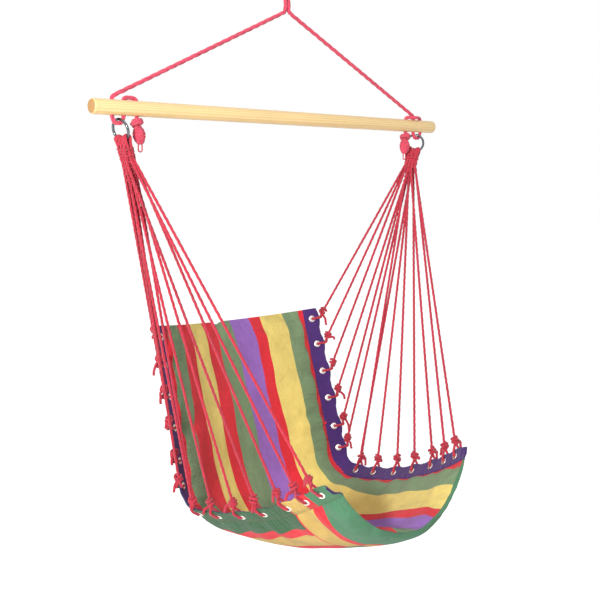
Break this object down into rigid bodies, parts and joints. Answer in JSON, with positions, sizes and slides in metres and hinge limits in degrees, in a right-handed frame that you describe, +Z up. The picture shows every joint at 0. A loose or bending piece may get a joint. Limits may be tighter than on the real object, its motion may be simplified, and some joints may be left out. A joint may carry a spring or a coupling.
{
  "type": "hammock chair",
  "caption": "Hanging rope chair: a padded striped cloth sling, corded along both sides to steel rings under a round wooden spreader bar that hangs from a knotted rope loop.",
  "frame": {"origin": "the hanging point, at the top of the opening in the hanging loop, where a hook bears on the rope", "axes": "+Z up, +X along the spreader bar towards the sitter's left, the sitter faces -Y"},
  "size_m": [1, 0.6071, 1.3002],
  "materials": {
    "wood": "pale, sanded, lightly varnished",
    "rope": "twisted cotton rope and cord",
    "steel": "plated and bright",
    "nickel": "nickelled, dull",
    "purple_cloth": "heavy plain weave",
    "striped_cloth": "printed stripes on canvas",
    "under_cloth": "printed stripes on canvas",
    "wadding": "fibre filling, hidden"
  },
  "bodies": {
    "hanger": {"hanging_loop": "rope"},
    "knot": {"loop_knot_core": "rope"},
    "knot_collar": {"loop_knot_wrap": "rope"},
    "bridle": {"spreader_bar": "wood", "left_suspension_rope": "rope", "right_suspension_rope": "rope", "left_stopper_knot": "rope", "right_stopper_knot": "rope"},
    "sling": {"top_cover": "striped_cloth", "bottom_cover": "under_cloth", "pad_filling": "wadding", "left_edge_band": "purple_cloth", "right_edge_band": "purple_cloth", "left_ring": "steel", "right_ring": "steel", "left_cord_binding": "rope", "right_cord_binding": "rope", "left_cord_1": "rope", "left_cord_2": "rope", "left_cord_3": "rope", "left_cord_4": "rope", "left_cord_5": "rope", "left_cord_6": "rope", "left_cord_7": "rope", "right_cord_1": "rope", "right_cord_2": "rope", "right_cord_3": "rope", "right_cord_4": "rope", "right_cord_5": "rope", "right_cord_6": "rope", "right_cord_7": "rope", "left_back_eyelet_1": "nickel", "left_back_eyelet_2": "nickel", "left_back_eyelet_3": "nickel", "left_back_eyelet_4": "nickel", "left_back_eyelet_5": "nickel", "left_back_eyelet_6": "nickel", "right_back_eyelet_1": "nickel", "right_back_eyelet_2": "nickel", "right_back_eyelet_3": "nickel", "right_back_eyelet_4": "nickel", "right_back_eyelet_5": "nickel", "right_back_eyelet_6": "nickel", "left_seat_eyelet_1": "nickel", "left_seat_eyelet_2": "nickel", "left_seat_eyelet_3": "nickel", "left_seat_eyelet_4": "nickel", "left_seat_eyelet_5": "nickel", "left_seat_eyelet_6": "nickel", "left_seat_eyelet_7": "nickel", "right_seat_eyelet_1": "nickel", "right_seat_eyelet_2": "nickel", "right_seat_eyelet_3": "nickel", "right_seat_eyelet_4": "nickel", "right_seat_eyelet_5": "nickel", "right_seat_eyelet_6": "nickel", "right_seat_eyelet_7": "nickel"}
  },
  "joints": [
    {"name": "chair_spin", "type": "hinge", "parent": "hanger", "child": "knot", "pos_m": [0, 0, -0.067], "axis": [0, 0, 1], "range_deg": [-180, 180]},
    {"name": "chair_sway", "type": "hinge", "parent": "knot", "child": "knot_collar", "pos_m": [0, 0, -0.067], "axis": [0, 1, 0], "range_deg": [-15, 15]},
    {"name": "chair_swing", "type": "hinge", "parent": "knot_collar", "child": "bridle", "pos_m": [0, 0, -0.067], "axis": [1, 0, 0], "range_deg": [-30, 30]},
    {"name": "seat_swing", "type": "hinge", "parent": "bridle", "child": "sling", "pos_m": [0, 0, -0.3798], "axis": [1, 0, 0], "range_deg": [-15, 15]}
  ]
}
